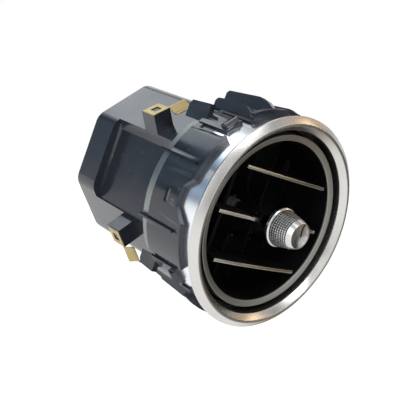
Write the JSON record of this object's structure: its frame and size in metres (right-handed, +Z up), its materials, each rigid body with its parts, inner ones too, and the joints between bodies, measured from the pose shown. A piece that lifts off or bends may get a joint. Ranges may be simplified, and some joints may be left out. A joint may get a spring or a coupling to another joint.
{
  "type": "dashboard air vent",
  "caption": "Round dashboard air vent: silver bezel, tilting slats, swinging vanes and a knurled knob that turns shut-off flaps, on a clipped duct box.",
  "frame": {"origin": "on the vent's axis, in the plane where the bezel seats on the dashboard", "axes": "+Y along the axis into the dashboard, +Z up, +X to the right for someone who faces the vent"},
  "size_m": [0.097, 0.1113, 0.0984],
  "materials": {
    "satin_silver": "satin",
    "bright_silver": "polished",
    "black_plastic": "matte",
    "slat_plastic": "satin",
    "chrome_strip": "polished",
    "knurl_plastic": "knurled",
    "knob_chrome": "polished",
    "gear_plastic": "satin",
    "spring_brass": "satin",
    "steel_rod": "brushed"
  },
  "bodies": {
    "housing": {"trim_bezel": "satin_silver", "outer_sleeve": "bright_silver", "inner_trim_ring": "satin_silver", "air_barrel": "black_plastic", "retaining_collar": "black_plastic", "duct_box": "black_plastic", "spring_clip_1": "spring_brass", "spring_clip_2": "spring_brass", "spring_clip_3": "spring_brass", "spring_clip_4": "spring_brass", "bearing_spider": "black_plastic", "flap_axle": "steel_rod"},
    "centre_vane": {"vane_3": "slat_plastic"},
    "vane_far_left": {"vane_1": "slat_plastic"},
    "vane_left": {"vane_2": "slat_plastic"},
    "vane_right": {"vane_4": "slat_plastic"},
    "vane_far_right": {"vane_5": "slat_plastic"},
    "vane_link": {"vane_link": "slat_plastic"},
    "knob_stem": {"knob_stem": "black_plastic"},
    "slat_centre": {"slat_centre": "slat_plastic", "strip_centre_left": "chrome_strip", "strip_centre_right": "chrome_strip"},
    "slat_upper": {"slat_upper": "slat_plastic", "strip_upper": "chrome_strip"},
    "slat_lower": {"slat_lower": "slat_plastic", "strip_lower": "chrome_strip"},
    "slat_link": {"slat_link": "slat_plastic"},
    "knob": {"knob_base": "knob_chrome", "knob_grip": "knurl_plastic", "knob_cap": "knob_chrome", "knob_shaft": "steel_rod"},
    "middle_shaft": {"middle_shaft": "gear_plastic"},
    "drive_shaft": {"drive_shaft": "gear_plastic", "bevel_pinion": "gear_plastic"},
    "flap_upper": {"flap_upper": "black_plastic", "bevel_gear_upper": "gear_plastic"},
    "flap_lower": {"flap_lower": "black_plastic", "bevel_gear_lower": "gear_plastic"}
  },
  "joints": [
    {"name": "knob_swing", "type": "hinge", "parent": "housing", "child": "centre_vane", "pos_m": [0, 0.0256, 0], "axis": [0, 0, 1], "range_deg": [-12, 12]},
    {"name": "vane_far_left_swing", "type": "hinge", "parent": "housing", "child": "vane_far_left", "pos_m": [-0.026, 0.0256, 0], "axis": [0, 0, 1], "range_deg": [-12, 12]},
    {"name": "vane_left_swing", "type": "hinge", "parent": "housing", "child": "vane_left", "pos_m": [-0.013, 0.0256, 0], "axis": [0, 0, 1], "range_deg": [-12, 12]},
    {"name": "vane_right_swing", "type": "hinge", "parent": "housing", "child": "vane_right", "pos_m": [0.013, 0.0256, 0], "axis": [0, 0, 1], "range_deg": [-12, 12]},
    {"name": "vane_far_right_swing", "type": "hinge", "parent": "housing", "child": "vane_far_right", "pos_m": [0.026, 0.0256, 0], "axis": [0, 0, 1], "range_deg": [-12, 12]},
    {"name": "vane_link_swing", "type": "hinge", "parent": "centre_vane", "child": "vane_link", "pos_m": [0, 0.0341, -0.014], "axis": [0, 0, 1], "range_deg": [-12, 12]},
    {"name": "knob_tilt", "type": "hinge", "parent": "centre_vane", "child": "knob_stem", "pos_m": [0, 0.0106, 0], "axis": [1, 0, 0], "range_deg": [-20, 20]},
    {"name": "slat_centre_tilt", "type": "hinge", "parent": "housing", "child": "slat_centre", "pos_m": [0, 0.0106, 0], "axis": [1, 0, 0], "range_deg": [-20, 20]},
    {"name": "slat_upper_tilt", "type": "hinge", "parent": "housing", "child": "slat_upper", "pos_m": [0, 0.0106, 0.0206], "axis": [1, 0, 0], "range_deg": [-20, 20]},
    {"name": "slat_lower_tilt", "type": "hinge", "parent": "housing", "child": "slat_lower", "pos_m": [0, 0.0106, -0.0206], "axis": [1, 0, 0], "range_deg": [-20, 20]},
    {"name": "slat_link_tilt", "type": "hinge", "parent": "slat_centre", "child": "slat_link", "pos_m": [-0.019, 0.0166, 0], "axis": [1, 0, 0], "range_deg": [-20, 20]},
    {"name": "knob_turn", "type": "hinge", "parent": "knob_stem", "child": "knob", "pos_m": [0, -0.0032, 0], "axis": [0, 1, 0], "range_deg": [0, 78]},
    {"name": "middle_shaft_turn", "type": "hinge", "parent": "centre_vane", "child": "middle_shaft", "pos_m": [0, 0.018, 0], "axis": [0, 1, 0], "range_deg": [0, 78]},
    {"name": "drive_shaft_turn", "type": "hinge", "parent": "housing", "child": "drive_shaft", "pos_m": [0, 0.0416, 0], "axis": [0, 1, 0], "range_deg": [0, 78]},
    {"name": "flap_upper_turn", "type": "hinge", "parent": "housing", "child": "flap_upper", "pos_m": [0, 0.0576, 0], "axis": [1, 0, 0], "range_deg": [0, 78]},
    {"name": "flap_lower_turn", "type": "hinge", "parent": "housing", "child": "flap_lower", "pos_m": [0, 0.0576, 0], "axis": [1, 0, 0], "range_deg": [-78, 0]}
  ],
  "couplings": [
    {"joint": "vane_far_left_swing", "follows": "knob_swing", "ratio": 1},
    {"joint": "vane_left_swing", "follows": "knob_swing", "ratio": 1},
    {"joint": "vane_right_swing", "follows": "knob_swing", "ratio": 1},
    {"joint": "vane_far_right_swing", "follows": "knob_swing", "ratio": 1},
    {"joint": "vane_link_swing", "follows": "knob_swing", "ratio": -1},
    {"joint": "slat_centre_tilt", "follows": "knob_tilt", "ratio": 1},
    {"joint": "slat_upper_tilt", "follows": "knob_tilt", "ratio": 1},
    {"joint": "slat_lower_tilt", "follows": "knob_tilt", "ratio": 1},
    {"joint": "slat_link_tilt", "follows": "knob_tilt", "ratio": -1},
    {"joint": "middle_shaft_turn", "follows": "knob_turn", "ratio": 1},
    {"joint": "drive_shaft_turn", "follows": "knob_turn", "ratio": 1},
    {"joint": "flap_upper_turn", "follows": "knob_turn", "ratio": 1},
    {"joint": "flap_lower_turn", "follows": "knob_turn", "ratio": -1}
  ]
}
